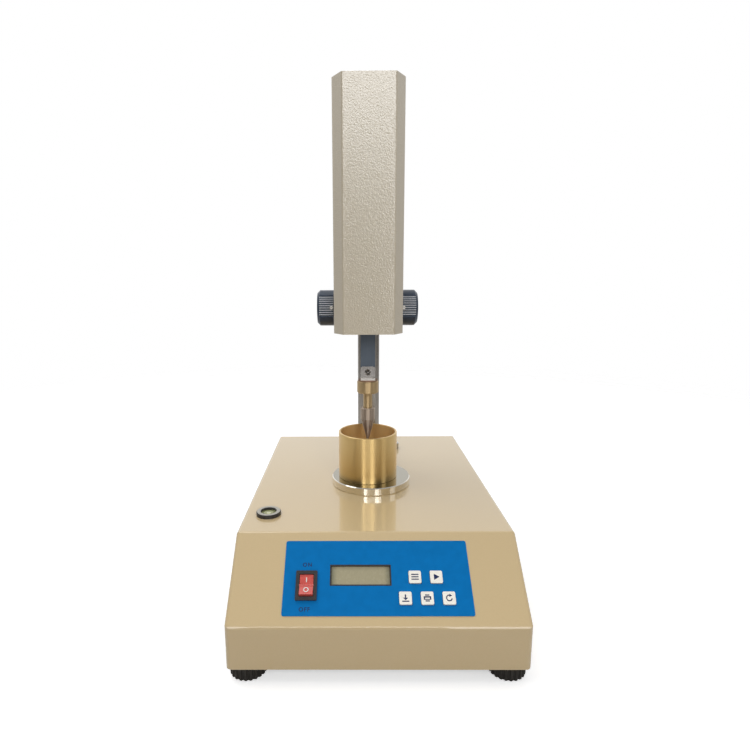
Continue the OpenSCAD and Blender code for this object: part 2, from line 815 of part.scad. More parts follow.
// Straight rack on the post's front, with a gap facing the pinion at rest
module rack() {
    half_root = tooth_pitch / 4 - backlash / 4 + tooth_in * tan(pressure_a);
    half_tip = tooth_pitch / 4 - backlash / 4 - tooth_out * tan(pressure_a);
    first = -ceil((pitch_r + rack_over) / tooth_pitch);
    last = ceil((lift + pitch_r + rack_over) / tooth_pitch);
    root_y = pitch_y + tooth_in;
    teeth = [for (k = [first:last]) let (z = knob_z + (k + 0.5) * tooth_pitch)
        each [[root_y, z - half_root], [pitch_y - tooth_out, z - half_tip],
            [pitch_y - tooth_out, z + half_tip], [root_y, z + half_root]]];
    low = knob_z + first * tooth_pitch;
    high = knob_z + (last + 1) * tooth_pitch;
    color("silver") translate([post_x, 0, 0]) rotate([90, 0, 90]) linear_extrude(gear_w, center = true)
        polygon(concat([[post_y, low], [root_y, low]], teeth, [[root_y, high], [post_y, high]]));
}

// Half the angle of a pinion tooth at radius r
base_r = pitch_r * cos(pressure_a);
function involute(r) = let (a = acos(min(1, base_r / r))) tan(a) - a * PI / 180;
function tooth_angle(r) = 90 / pinion_teeth
    + (involute(pitch_r) - involute(max(r, base_r)) - backlash / 4 / pitch_r) * 180 / PI;

// Point on one side of the pinion tooth that points along mid
function on_tooth(r, mid, side) = let (a = mid + side * tooth_angle(r)) r * [cos(a), sin(a)];

// Pinion with involute teeth, one of them pointing at the rack
module pinion() {
    root_r = pitch_r - tooth_in;
    tip_r = pitch_r + tooth_out;
    flank = [root_r, for (k = [0:4]) max(base_r, root_r) + (tip_r - max(base_r, root_r)) * k / 4];
    outline = [for (t = [0:pinion_teeth - 1]) let (mid = 90 + t * 360 / pinion_teeth)
        each [for (k = [0:5]) on_tooth(flank[k], mid, -1), for (k = [5:-1:0]) on_tooth(flank[k], mid, 1)]];
    color("goldenrod") on_axle(post_x) difference() {
        linear_extrude(gear_w, center = true) polygon(outline);
        cylinder(d = shaft_d, h = gear_w + 2 * over, center = true);
    }
}

carriage_r = 2;
cover_plan = let (w = cover_w / 2, f = -cover_front, b = cover_back - cone_y)
    [[chamfer_w - w, f], [w - chamfer_w, f], [w, f + chamfer_d], [w, b], [-w, b], [-w, f + chamfer_d]];
cover_r = [2, 2, 4.5, 3, 3, 4.5];
cover_screw_d = 3;
cover_screw_deep = 8;
cover_screw_y = carriage_back - carriage_wall / 2;
cover_screw_places = [carriage_z + carriage_h / 4, carriage_z + carriage_h * 3 / 4];

// Painted cover of the head, open below
module head_cover() {
    color("tan") difference() {
        on_cone(cover_z) linear_extrude(cover_h) polygon(rounded(cover_plan, cover_r));
        on_cone(cover_z - over) linear_extrude(cover_h - sheet + over)
            polygon(rounded(inset(cover_plan, sheet), [for (r = cover_r) max(0.4, r - sheet)]));
        on_axle() cylinder(d = bush_d, h = cover_w + 2 * over, center = true);
        for (z = cover_screw_places)
            translate([cone_x, cover_screw_y, z]) rotate([0, 90, 0])
                cylinder(d = cover_screw_d, h = cover_w + 2 * over, center = true);
    }
}

// Screws through the cover's sides into the carriage
module cover_screws() {
    head_r = cover_screw_d * 0.9;
    head_h = 1.6;
    color("silver") for (side = [-1, 1]) for (z = cover_screw_places)
        translate([cone_x + side * cover_w / 2, cover_screw_y, z]) rotate([0, side * 90, 0]) {
            turned([[0, 0], [head_r, 0], [head_r, head_h / 2], [head_r * 0.7, head_h], [0, head_h]]);
            translate([0, 0, -cover_screw_deep]) cylinder(d = cover_screw_d, h = cover_screw_deep);
        }
}

// Block that runs on the post and carries the head
module carriage() {
    depth = carriage_back - cone_y - carriage_front;
    rack_room = post_y - pitch_y + tooth_out + slide_gap;
    color("silver") difference() {
        translate([cone_x, cone_y + carriage_front + depth / 2, carriage_z])
            block(carriage_w, depth, carriage_h, carriage_r);
        translate([post_x, post_y + post_d / 2, carriage_z - over])
            block(post_w + 2 * slide_gap, post_d + 2 * slide_gap, carriage_h + 2 * over, post_r);
        translate([post_x, post_y - rack_room / 2, carriage_z - over])
            block(gear_w + 4 * slide_gap, rack_room + 2 * slide_gap, carriage_h + 2 * over);
        on_axle(post_x) cylinder(r = pinion_room, h = gear_w + 4 * slide_gap, center = true);
        translate([post_x, knob_y, carriage_z - over])
            block(gear_w + 4 * slide_gap, 2 * pinion_room, knob_z - carriage_z + over);
        on_axle() cylinder(d = bush_d, h = cover_w, center = true);
        for (z = cover_screw_places) for (side = [-1, 1])
            translate([cone_x + side * carriage_w / 2, cover_screw_y, z]) rotate([0, 90, 0])
                cylinder(d = cover_screw_d, h = 2 * cover_screw_deep, center = true);
    }
}

// Flanged bushes for the shaft, put in from both sides
module shaft_bushes() {
    color("goldenrod") for (side = [0, 1])
        on_axle() mirror([0, 0, side]) translate([0, 0, cover_w / 2]) difference() {
            union() {
                translate([0, 0, -bush_len]) cylinder(d = bush_d, h = bush_len);
                cylinder(d = bush_d + 4, h = bush_flange);
            }
            translate([0, 0, -bush_len - over])
                cylinder(d = shaft_d + 2 * pin_gap, h = bush_len + bush_flange + 2 * over);
        }
}

knob_in = cover_w / 2 + bush_flange + slide_gap;
knob_end = 5;
shaft_in_knob = knob_len - knob_end;
// Turn of the grips about the axis, which puts the middle of one of them 10 degrees above the front
grip_turn = -100;

// Shaft across the head, from knob to knob
module knob_shaft() {
    color("silver") on_axle() cylinder(d = shaft_d, h = 2 * (knob_in + shaft_in_knob), center = true);
}

// Ribbed knob, standing on the cover's side
module knob() {
    r = knob_d / 2;
    groove_r = rib_step / 2 * PI / 180 * r;
    dish = 1;
    dish_r = r - knob_chamfer - 3;
    color("dimgray") translate([0, 0, knob_in]) difference() {
        turned([[0, 0], [r, 0], [r, knob_len - knob_chamfer], [r - knob_chamfer, knob_len],
            [dish_r, knob_len], [dish_r - dish, knob_len - dish], [0, knob_len - dish]]);
        for (g = [0:knob_grips - 1]) for (k = [0:grip_ribs])
            rotate(grip_turn + g * 360 / knob_grips + (k - grip_ribs / 2) * rib_step)
                translate([r + groove_r - rib_h, 0, -over])
                    cylinder(r = groove_r, h = knob_len + 2 * over, $fn = 24);
        translate([0, 0, -over]) cylinder(d = shaft_d, h = shaft_in_knob + over);
    }
}

module knob_right() { on_axle() knob(); }
module knob_left() { on_axle() mirror([0, 0, 1]) knob(); }

guide_w = strip_w + 11;
guide_h = 10;
guide_wall = 3;

// Guides that keep the strip upright
module strip_guides() {
    back = carriage_front;
    front = -strip_t / 2 - slide_gap - guide_wall;
    color("white") for (z = [carriage_z + 1, carriage_top - guide_h - 1])
        on_cone(z) difference() {
            translate([0, (front + back) / 2, 0]) block(guide_w, back - front, guide_h, 1);
            translate([0, 0, -over])
                block(strip_w + 2 * slide_gap, strip_t + 2 * slide_gap, guide_h + 2 * over);
        }
}

// Reading head behind the strip
module sensor_head() {
    near = strip_t / 2 + slide_gap;
    low = carriage_z + guide_h + 6;
    color("dimgray") on_cone(low) translate([0, (near + carriage_front) / 2, 0])
        block(guide_w - 2, carriage_front - near, carriage_h - 2 * guide_h - 12, 1);
}

// Bracket on the carriage, with a shelf that the magnet hangs from
module magnet_bracket() {
    w = magnet_d + 4;
    foot_d0 = cone_y + carriage_front;
    foot_len = bracket_y - foot_d0;
    shelf_d = magnet_d + bracket_t;
    color("silver") {
        translate([cone_x, foot_d0 + foot_len / 2, carriage_top]) block(w, foot_len, bracket_t);
        translate([cone_x, bracket_y - bracket_t / 2, carriage_top])
            block(w, bracket_t, bracket_top - carriage_top);
        translate([cone_x, bracket_y - shelf_d / 2, bracket_top - bracket_t]) block(w, shelf_d, bracket_t);
    }
}

// Winding and pot of the magnet
module magnet_coil() {
    color("saddlebrown") on_cone(magnet_z) difference() {
        cylinder(d = magnet_d, h = magnet_h);
        translate([0, 0, -over]) cylinder(d = core_d + 2 * pin_gap, h = magnet_h + 2 * over);
    }
}

// Core of the magnet
module magnet_core() {
    color("silver") on_cone(magnet_z) cylinder(d = core_d, h = magnet_h);
}

// Steel disc on top of the strip, which the magnet holds
module armature() {
    color("silver") on_cone(strip_top) turned([[0, 0], [armature_d / 2 - 0.5, 0], [armature_d / 2, 0.5],
        [armature_d / 2, armature_t], [0, armature_t]]);
}

hanger_screw_z = strip_z + (hanger_h - hanger_t) / 2;
hanger_screw_d = 3;

// Flat strip that the cone hangs from
module scale_strip() {
    color("slategray") difference() {
        on_cone(strip_z) block(strip_w, strip_t, strip_top - strip_z);
        on_cone(hanger_screw_z) rotate([90, 0, 0])
            cylinder(d = hanger_screw_d, h = strip_t + 2 * over, center = true);
    }
}

// Angle at the strip's foot: an upright with round upper corners and a flat foot
module hanger() {
    top_r = 2;
    face = [[-strip_w / 2, 0], [strip_w / 2, 0], [strip_w / 2, hanger_h], [-strip_w / 2, hanger_h]];
    color("lightgray") on_cone(hanger_z) difference() {
        union() {
            translate([0, -strip_t / 2, 0]) rotate([90, 0, 0]) linear_extrude(hanger_t)
                polygon(rounded(face, [0, 0, top_r, top_r]));
            block(strip_w, hanger_d, hanger_t);
        }
        translate([0, 0, hanger_screw_z - hanger_z]) rotate([90, 0, 0])
            cylinder(d = hanger_screw_d, h = 4 * strip_t, center = true);
    }
}

// Screw that clamps the hanger to the strip
module hanger_screw() {
    head_r = 2.8;
    head_h = 1.8;
    color("silver") on_cone(hanger_screw_z) translate([0, -strip_t / 2 - hanger_t, 0]) rotate([90, 0, 0]) {
        turned([[0, 0], [head_r, 0], [head_r, head_h / 2], [head_r * 0.6, head_h], [0, head_h]]);
        mirror([0, 0, 1]) cylinder(d = hanger_screw_d, h = hanger_t + strip_t);
    }
}

// Washer between the hanger and the collar
module collar_washer() {
    color("silver") on_cone(washer_z) difference() {
        cylinder(d = washer_d, h = washer_t);
        translate([0, 0, -over]) cylinder(d = thread_d, h = washer_t + 2 * over);
    }
}

// Brass collar
module cone_collar() {
    edge = 0.6;
    r = collar_d / 2;
    bore = thread_d / 2;
    color("goldenrod") on_cone(collar_z) turned([[bore, 0], [r - edge, 0], [r, edge], [r, collar_len - edge],
        [r - edge, collar_len], [bore, collar_len]]);
}

shank_thread = 8;

// Brass neck, with threads into the collar above and the cone's body below
module cone_spindle() {
    color("goldenrod") on_cone(neck_z) turned([[0, -shank_thread], [thread_d / 2, -shank_thread],
        [thread_d / 2, 0], [neck_d / 2, 0], [neck_d / 2, neck_len], [thread_d / 2, neck_len],
        [thread_d / 2, neck_len + collar_len + washer_t], [0, neck_len + collar_len + washer_t]]);
}

// Steel cone and the round body over it
module cone_tip() {
    edge = 0.5;
    len = shank_z - tip_z;
    color("gray") on_cone(tip_z) turned([[0, 0], [cone_d / 2, len],
        [shank_d / 2, len + (shank_d - cone_d) / 2], [shank_d / 2, len + shank_len - edge],
        [shank_d / 2 - edge, len + shank_len],
        [thread_d / 2, len + shank_len], [thread_d / 2, len + shank_len - shank_thread],
        [0, len + shank_len - shank_thread]]);
}

main_board_w = 72;
main_board_d = 100;
main_board_up = 8;
main_board_room = 5;
main_board_x = base_w / 2 - sheet - flange_w - main_board_room - main_board_w / 2;
main_board_y = cone_y - main_board_room - main_board_d / 2;
main_spacer_places = [for (i = [-1, 1]) for (j = [-1, 1])
    [main_board_x + i * (main_board_w / 2 - spacer_d), main_board_y + j * (main_board_d / 2 - spacer_d)]];

// Main board on the bottom plate
module main_board() {
    color("darkgreen") translate([main_board_x, main_board_y, z_plate + main_board_up])
        block(main_board_w, main_board_d, board_t, 1);
}

// Spacers of the main board and of the panel board
module board_spacers() {
    color("silver") {
        for (p = main_spacer_places)
            translate([p.x, p.y, z_plate]) cylinder(d = spacer_d, h = main_board_up);
        for (p = panel_spacer_places)
            on_slope(p[0], p[1], board_n) cylinder(d = spacer_d, h = board_drop);
    }
}

part_edge = 4;
can_x = 14;
can_d = 13;
can_h = 22;
chip_w = 14;
chip_l = 36;
chip_h = 4;
plug_bar_w = 20;
plug_bar_d = 8;
plug_bar_h = 10;

// Larger parts on the main board: two capacitors, the processor and two plug bars
module board_parts() {
    color("dimgray") translate([main_board_x, main_board_y, z_plate + main_board_up + board_t]) {
        for (k = [-1, 1])
            translate([k * can_x, main_board_d / 2 - can_d - part_edge, 0]) cylinder(d = can_d, h = can_h);
        block(chip_w, chip_l, chip_h);
        for (k = [-1, 1])
            translate([k * (main_board_w / 2 - plug_bar_w), plug_bar_d + part_edge - main_board_d / 2, 0])
                block(plug_bar_w, plug_bar_d, plug_bar_h);
    }
}

inlet_body_w = 28;
inlet_body_h = 20;
inlet_body_deep = 22;
inlet_well_w = 24.4;
inlet_well_h = 16.4;
inlet_well_deep = 16;
inlet_ear = 5;

trafo_w = 57;
trafo_d = 24;
trafo_h = 48;
coil_over = 10;
trafo_room = 10;
trafo_side = 6;
trafo_x = -base_w / 2 + sheet + flange_w + trafo_side + trafo_w / 2;
trafo_y = y_back - inlet_body_deep - trafo_room - coil_over - trafo_d / 2;

// Iron core of the transformer: an outer frame and a middle limb
module transformer_core() {
    limb = trafo_w / 6;
    window_h = trafo_h - 2 * limb;
    color("dimgray") translate([trafo_x, trafo_y, z_plate]) difference() {
        block(trafo_w, trafo_d, trafo_h);
        for (side = [-1, 1])
            translate([side * 1.5 * limb, 0, limb]) block(limb, trafo_d + 2 * over, window_h);
    }
}

// Winding round the middle limb
module transformer_coil() {
    limb = trafo_w / 6;
    window_h = trafo_h - 2 * limb - 2 * seat_gap;
    color("goldenrod") translate([trafo_x, trafo_y, z_plate + limb + seat_gap]) difference() {
        block(4 * limb - 2 * seat_gap, trafo_d + 2 * coil_over, window_h, 2);
        translate([0, 0, -over]) block(2 * limb + 2 * seat_gap, trafo_d + 2 * seat_gap, window_h + 2 * over);
    }
}

// Three-pin mains inlet in its flange
module power_inlet() {
    ear = inlet_ear;
    well = [[-inlet_well_w / 2, inlet_well_h / 2], [-inlet_well_w / 2, ear - inlet_well_h / 2],
        [ear - inlet_well_w / 2, -inlet_well_h / 2], [inlet_well_w / 2 - ear, -inlet_well_h / 2],
        [inlet_well_w / 2, ear - inlet_well_h / 2], [inlet_well_w / 2, inlet_well_h / 2]];
    color("dimgray") on_back(inlet_x) difference() {
        union() {
            block(inlet_w, inlet_h, inlet_proud, 4);
            translate([0, 0, -inlet_body_deep]) block(inlet_body_w, inlet_body_h, inlet_body_deep);
        }
        translate([0, 0, inlet_proud - inlet_well_deep]) linear_extrude(inlet_well_deep + over) polygon(well);
    }
}

// Pins of the inlet: two in a row and the earth pin above them
module inlet_pins() {
    len = inlet_well_deep - 5;
    color("silver") on_back(inlet_x)
        for (p = [[-7, 2], [7, 2], [0, -2]])
            translate([p.x, p.y, inlet_proud - inlet_well_deep]) block(2, 4, len);
}

fuse_body_d = 12;
fuse_body_deep = 30;
fuse_rim = 1.5;
fuse_rim_h = 1.2;
fuse_cap_in = 2;
fuse_edge = 0.6;

// Fuse holder with its screw cap
module fuse_holder() {
    color("black") on_back(fuse_x)
        turned([[0, -fuse_body_deep], [fuse_body_d / 2, -fuse_body_deep], [fuse_body_d / 2, 0],
            [fuse_d / 2 + fuse_rim, 0], [fuse_d / 2 + fuse_rim, fuse_rim_h],
            [fuse_d / 2 - fuse_rim, fuse_rim], [fuse_d / 2 - fuse_cap_in, port_proud - fuse_edge],
            [fuse_d / 2 - fuse_cap_in - fuse_edge, port_proud], [0, port_proud]]);
}

port_body_w = 19;
port_body_h = 10;
port_body_deep = 9;
port_flange_w = 31;
port_flange_h = 12.5;
port_flange_t = 1;
port_post_x = 12.5;
port_post_d = 5;
port_post_short = 0.5;

// Nine-way printer port with its flange and two posts
module printer_port() {
    shell = [[-8.3, 4.2], [-7, -4.2], [7, -4.2], [8.3, 4.2]];
    color("silver") on_back(port_x) {
        block(port_flange_w, port_flange_h, port_flange_t, 2);
        linear_extrude(port_proud) polygon(rounded(shell, [1, 1, 1, 1]));
        translate([0, 0, -port_body_deep]) block(port_body_w, port_body_h, port_body_deep);
        for (side = [-1, 1])
            translate([side * port_post_x, 0, 0])
                cylinder(d = port_post_d, h = port_proud - port_post_short, $fn = 6);
    }
}

base_cover();
bottom_plate();
plate_screws();
foot_nuts();
foot_front_left();
foot_front_right();
foot_back_left();
foot_back_right();
panel_overlay();
switch_body();
rocker();
display_frame();
display_glass();
panel_board();
board_spacers();
key_switches();
key_set();
key_start();
key_store();
key_print();
key_reset();
level_ring();
level_vial();
hole_plug();
sample_stand();
stand_nut();
sample_cup();
post();
post_socket();
socket_bolts();
rack();
head_cover();
cover_screws();
carriage();
shaft_bushes();
knob_shaft();
pinion();
knob_left();
knob_right();
strip_guides();
sensor_head();
magnet_bracket();
magnet_coil();
magnet_core();
armature();
scale_strip();
hanger();
hanger_screw();
collar_washer();
cone_collar();
cone_spindle();
cone_tip();
main_board();
board_parts();
transformer_core();
transformer_coil();
power_inlet();
inlet_pins();
fuse_holder();
printer_port();
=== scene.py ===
"""Looks of a bench cone penetrometer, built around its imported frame. Lengths are in metres."""

import json
import math

import bpy
from mathutils import Matrix, Vector


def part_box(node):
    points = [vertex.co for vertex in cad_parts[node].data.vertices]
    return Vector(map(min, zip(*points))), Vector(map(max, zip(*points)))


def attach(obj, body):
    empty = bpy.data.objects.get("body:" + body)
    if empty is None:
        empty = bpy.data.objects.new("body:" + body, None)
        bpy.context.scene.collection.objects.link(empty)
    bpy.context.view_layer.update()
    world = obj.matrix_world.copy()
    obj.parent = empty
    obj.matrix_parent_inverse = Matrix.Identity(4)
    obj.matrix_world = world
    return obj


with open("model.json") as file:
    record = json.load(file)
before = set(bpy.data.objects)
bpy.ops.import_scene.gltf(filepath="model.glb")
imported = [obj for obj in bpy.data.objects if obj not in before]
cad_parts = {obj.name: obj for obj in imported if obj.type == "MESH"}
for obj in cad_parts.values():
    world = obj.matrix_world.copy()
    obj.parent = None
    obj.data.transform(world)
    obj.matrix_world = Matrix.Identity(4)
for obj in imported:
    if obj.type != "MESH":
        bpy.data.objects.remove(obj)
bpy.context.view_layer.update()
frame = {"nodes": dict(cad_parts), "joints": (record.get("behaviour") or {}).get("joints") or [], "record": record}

MM = 0.001
NODES = frame["nodes"]
SLOT_OF = {row["node"]: row["material_slot"] for row in frame["record"]["subparts"]}
JOINT = {row["name"]: row for row in frame["joints"]}
SIDES = {"left": -1, "right": 1}

# Viewpoint of the photograph, in the part's frame
CAMERA_AT = Vector((-17.1, -487.2, 276.0)) * MM
CAMERA_PITCH = math.radians(10.647)
CAMERA_YAW = math.radians(-0.532)
CAMERA_ROLL = math.radians(-0.337)
CAMERA_LENS, CAMERA_SENSOR = 25.97, 36
CAMERA_SHIFT = (0.0367, 0.0070)

# Stretch of a grain along each axis: even, in rings round the axis, or in lines along it
EVEN = (1, 1, 1)
AROUND = (0, 0, 1)
ALONG = (1, 1, 0.02)

# Part of a noise's range that most of its values lie in
NOISE_LOW, NOISE_HIGH = 0.3, 0.7


# Small helpers for colours and shader nodes
def rgb(red, green, blue):
    """Linear colour from the 0 to 255 values of a screen."""
    def linear(value):
        value /= 255
        return value / 12.92 if value <= 0.04045 else ((value + 0.055) / 1.055) ** 2.4
    return (linear(red), linear(green), linear(blue), 1.0)


def shade(colour, factor):
    """The colour made lighter or darker."""
    return tuple(min(1.0, part * factor) for part in colour[:3]) + (1.0,)


def fill(tree, socket, value):
    """Link a socket to another one, or set it to a value."""
    if isinstance(value, bpy.types.NodeSocket):
        tree.links.new(value, socket)
    else:
        socket.default_value = value


def add(tree, kind, inputs=None, **settings):
    """New shader node with its settings, and its inputs set or linked."""
    made = tree.nodes.new("ShaderNode" + kind)
    for key, value in settings.items():
        setattr(made, key, value)
    for key, value in (inputs or {}).items():
        fill(tree, made.inputs[key], value)
    return made


def math_of(tree, operation, *values, **settings):
    """Result of a sum on numbers."""
    inputs = dict(enumerate(values))
    return add(tree, "Math", inputs, operation=operation, **settings).outputs["Value"]


def vector_of(tree, operation, *values):
    """Result of a sum on vectors: a number for a length or a dot product, else a vector."""
    made = add(tree, "VectorMath", dict(enumerate(values)), operation=operation)
    return made.outputs["Value" if operation in ("LENGTH", "DOT_PRODUCT") else "Vector"]


def ramp(tree, value, start, end, low=0.0, high=1.0, **settings):
    """Value that goes from low to high while another goes from start to end."""
    ends = {"Value": value, "From Min": start, "From Max": end, "To Min": low, "To Max": high}
    return add(tree, "MapRange", ends, **settings).outputs["Result"]


def parts_of(tree, vector):
    """The X, Y and Z of a vector."""
    return add(tree, "SeparateXYZ", {"Vector": vector}).outputs


def place_on(tree):
    """Place on the surface, in the piece's own coordinates."""
    return add(tree, "TexCoord").outputs["Object"]


def noise(tree, scale, detail=3.0, stretch=EVEN):
    """Noise from 0 to 1, with so many waves to the metre along each axis."""
    place = add(tree, "Mapping", {"Vector": place_on(tree), "Scale": stretch}).outputs["Vector"]
    return add(tree, "TexNoise", {"Vector": place, "Scale": scale, "Detail": detail}).outputs["Fac"]


def between(tree, share, low, high):
    """Value that goes from low to high over the middle of a noise."""
    return ramp(tree, share, NOISE_LOW, NOISE_HIGH, low, high)


def mixed(tree, share, first, second):
    """Colour between two others."""
    mix = add(tree, "Mix", data_type="RGBA")
    for key, value in (("Factor", share), ("A", first), ("B", second)):
        fill(tree, mix.inputs[key], value)
    return mix.outputs["Result"]


def edges(tree, radius, gain):
    """Mask that is 1 where the surface turns sharply within the radius."""
    rounded = add(tree, "Bevel", {"Radius": radius}, samples=6).outputs["Normal"]
    plain = add(tree, "NewGeometry").outputs["Normal"]
    turn = math_of(tree, "SUBTRACT", 1.0, vector_of(tree, "DOT_PRODUCT", rounded, plain))
    return math_of(tree, "MULTIPLY", turn, gain, use_clamp=True)


def new_material(name):
    """Material with its node tree and its Principled shader."""
    material = bpy.data.materials.new(name)
    material.use_nodes = True
    return material, material.node_tree, shader_of(material)


def shader_of(material):
    """The Principled shader of a material."""
    return material.node_tree.nodes["Principled BSDF"]


def finish(name, colour, spread=0.06, scale=300, stretch=EVEN, rough=(0.35, 0.45), metal=0.0,
           bump=0.0, bump_scale=900, bump_stretch=EVEN, wear_and_sheen=None, **constants):
    """Material whose colour, gloss and grain vary over the surface."""
    material, tree, shader = new_material(name)
    patch = noise(tree, scale, detail=4.0, stretch=stretch)
    darker, lighter = shade(colour, 1 - spread), shade(colour, 1 + spread)
    base = mixed(tree, between(tree, patch, 0, 1), darker, lighter)
    # Colour on sharp edges: scuffs on plastic and rubber; on the enamel partly rubbed paint and partly a painted
    # highlight
    if wear_and_sheen:
        wear_and_sheen_colour, radius, gain = wear_and_sheen
        base = mixed(tree, edges(tree, radius, gain), base, wear_and_sheen_colour)
    tree.links.new(base, shader.inputs["Base Color"])
    tree.links.new(between(tree, patch, *rough), shader.inputs["Roughness"])
    shader.inputs["Metallic"].default_value = metal
    if bump:
        height = noise(tree, bump_scale, detail=2.0, stretch=bump_stretch)
        normal = add(tree, "Bump", {"Height": height, "Strength": 1.0, "Distance": bump})
        tree.links.new(normal.outputs["Normal"], shader.inputs["Normal"])
    for key, value in constants.items():
        shader.inputs[key.replace("_", " ")].default_value = value
    return material


def overlay(material, share, colour):
    """Give a material another colour where the share is 1."""
    base = shader_of(material).inputs["Base Color"]
    tree = material.node_tree
    tree.links.new(mixed(tree, share, base.links[0].from_socket, colour), base)


def dull(material, share, metal):
    """Make a metal less metallic where the share is 1."""
    tree = material.node_tree
    tree.links.new(ramp(tree, share, 0, 1, 1.0, metal), shader_of(material).inputs["Metallic"])


# Materials
def hammered_paint(name, beige, grain, depth, rough, **gloss):
    """Beige enamel with the pimpled skin of sprayed paint, and paler edges that are partly rubbed paint and partly
    a painted highlight along folds and corners.
    """
    # Paler edge colour: partly rubbed paint, partly a painted highlight on the folds
    return finish(name, beige, 0.012, 900, rough=rough, bump=depth, bump_scale=grain,
                  wear_and_sheen=(rgb(226, 212, 184), 1.2 * MM, 1.2), **gloss)


def display_face():
    """Unlit display: grey-green, darker towards its ends."""
    material, tree, shader = new_material("display_grey")
    low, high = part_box("display_glass")
    middle, half = (low.x + high.x) / 2, (high.x - low.x) / 2
    plain_half = half * 0.8
    across = parts_of(tree, place_on(tree))["X"]
    off = math_of(tree, "ABSOLUTE", math_of(tree, "SUBTRACT", across, middle))
    edge = ramp(tree, off, plain_half, half)
    grey = mixed(tree, noise(tree, 120), rgb(168, 160, 131), rgb(172, 164, 135))
    tree.links.new(mixed(tree, edge, grey, rgb(128, 126, 104)), shader.inputs["Base Color"])
    tree.links.new(between(tree, noise(tree, 300), 0.25, 0.29), shader.inputs["Roughness"])
    return material


def painted_top_reflection(material, colour):
    """The material with another colour on the faces that look up, as a painted reflection."""
    sloping, level = 0.75, 0.98
    tree = material.node_tree
    rise = parts_of(tree, add(tree, "NewGeometry").outputs["Normal"])["Z"]
    overlay(material, ramp(tree, rise, sloping, level), colour)
    return material


def steel(name, colour, rough):
    """Metal with fine lines along its length."""
    lines = 1500
    return finish(name, colour, 0.1, lines, ALONG, rough, 1.0, 0.02 * MM, lines, ALONG)


def turned(name, colour, rough):
    """Metal with the rings of a lathe, which draw a highlight out along the axis."""
    material = finish(name, colour, 0.06, 2600, AROUND, rough, 1.0, Anisotropic=0.9,
                      Anisotropic_Rotation=0.25)
    tree = material.node_tree
    round_axis = add(tree, "Tangent", direction_type="RADIAL", axis="Z").outputs["Tangent"]
    tree.links.new(round_axis, shader_of(material).inputs["Tangent"])
    return material


def cup_brass():
    """Turned brass, painted paler and duller on the inside of the cup as painted light in its shaded hollow."""
    within_wall = 1.2 * MM
    material = turned("cup_brass", rgb(218, 188, 130), (0.27, 0.33))
    tree = material.node_tree
    low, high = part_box("sample_cup")
    middle = Vector(((low.x + high.x) / 2, (low.y + high.y) / 2, 0))
    from_axis = vector_of(tree, "SUBTRACT", place_on(tree), middle)
    radius = vector_of(tree, "LENGTH", vector_of(tree, "MULTIPLY", from_axis, (1, 1, 0)))
    inside = math_of(tree, "LESS_THAN", radius, (high.x - low.x) / 2 - within_wall)
    # Painted light: the inside of the cup gets a paler, less metallic colour
    overlay(material, inside, rgb(222, 186, 126))
    dull(material, inside, 0.35)
    return material


def knob_black():
    """Black knob with a painted highlight on the crests of the ribs of its three grips."""
    grips, first_grip = 3, math.radians(10)
    plain_below, ribbed_above = -0.3, -0.15
    crest_foot, crest_top = 0.7 * MM, 0.3 * MM
    material = finish("knob_black", rgb(50, 62, 80), 0.1, 400, rough=(0.28, 0.36),
                      bump=0.01 * MM, bump_scale=2500, Specular_IOR_Level=0.35)
    tree = material.node_tree
    low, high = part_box("knob_left")
    radius = (high.z - low.z) / 2
    axis = Vector(JOINT["knob_turn"]["pos_m"])
    from_axis = vector_of(tree, "SUBTRACT", place_on(tree), axis)
    flat = vector_of(tree, "MULTIPLY", from_axis, (0, -1, 1))
    away = vector_of(tree, "LENGTH", flat)
    crest_highlight = ramp(tree, away, radius - crest_foot, radius - crest_top)
    sides = parts_of(tree, flat)
    turn = math_of(tree, "ARCTAN2", sides["Z"], sides["Y"])
    turn = math_of(tree, "MULTIPLY", math_of(tree, "SUBTRACT", turn, first_grip), grips)
    grip = ramp(tree, math_of(tree, "COSINE", turn), plain_below, ribbed_above)
    # Painted highlight: near-white on the rib crests of the grips
    overlay(material, math_of(tree, "MULTIPLY", crest_highlight, grip), rgb(228, 231, 236))
    return material


def clip_steel():
    """Bright steel of the clip on the strip; its foot is duller and painted near-white as a painted highlight."""
    foot_height = 1.8 * MM
    material = finish("bright_clip", rgb(176, 171, 166), 0.03, 1500, ALONG, (0.22, 0.28), 1.0)
    tree = material.node_tree
    height = parts_of(tree, place_on(tree))["Z"]
    foot = math_of(tree, "LESS_THAN", height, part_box("hanger")[0].z + foot_height)
    # Painted highlight: the foot of the clip is painted near-white
    overlay(material, foot, rgb(238, 234, 228))
    dull(material, foot, 0.3)
    return material


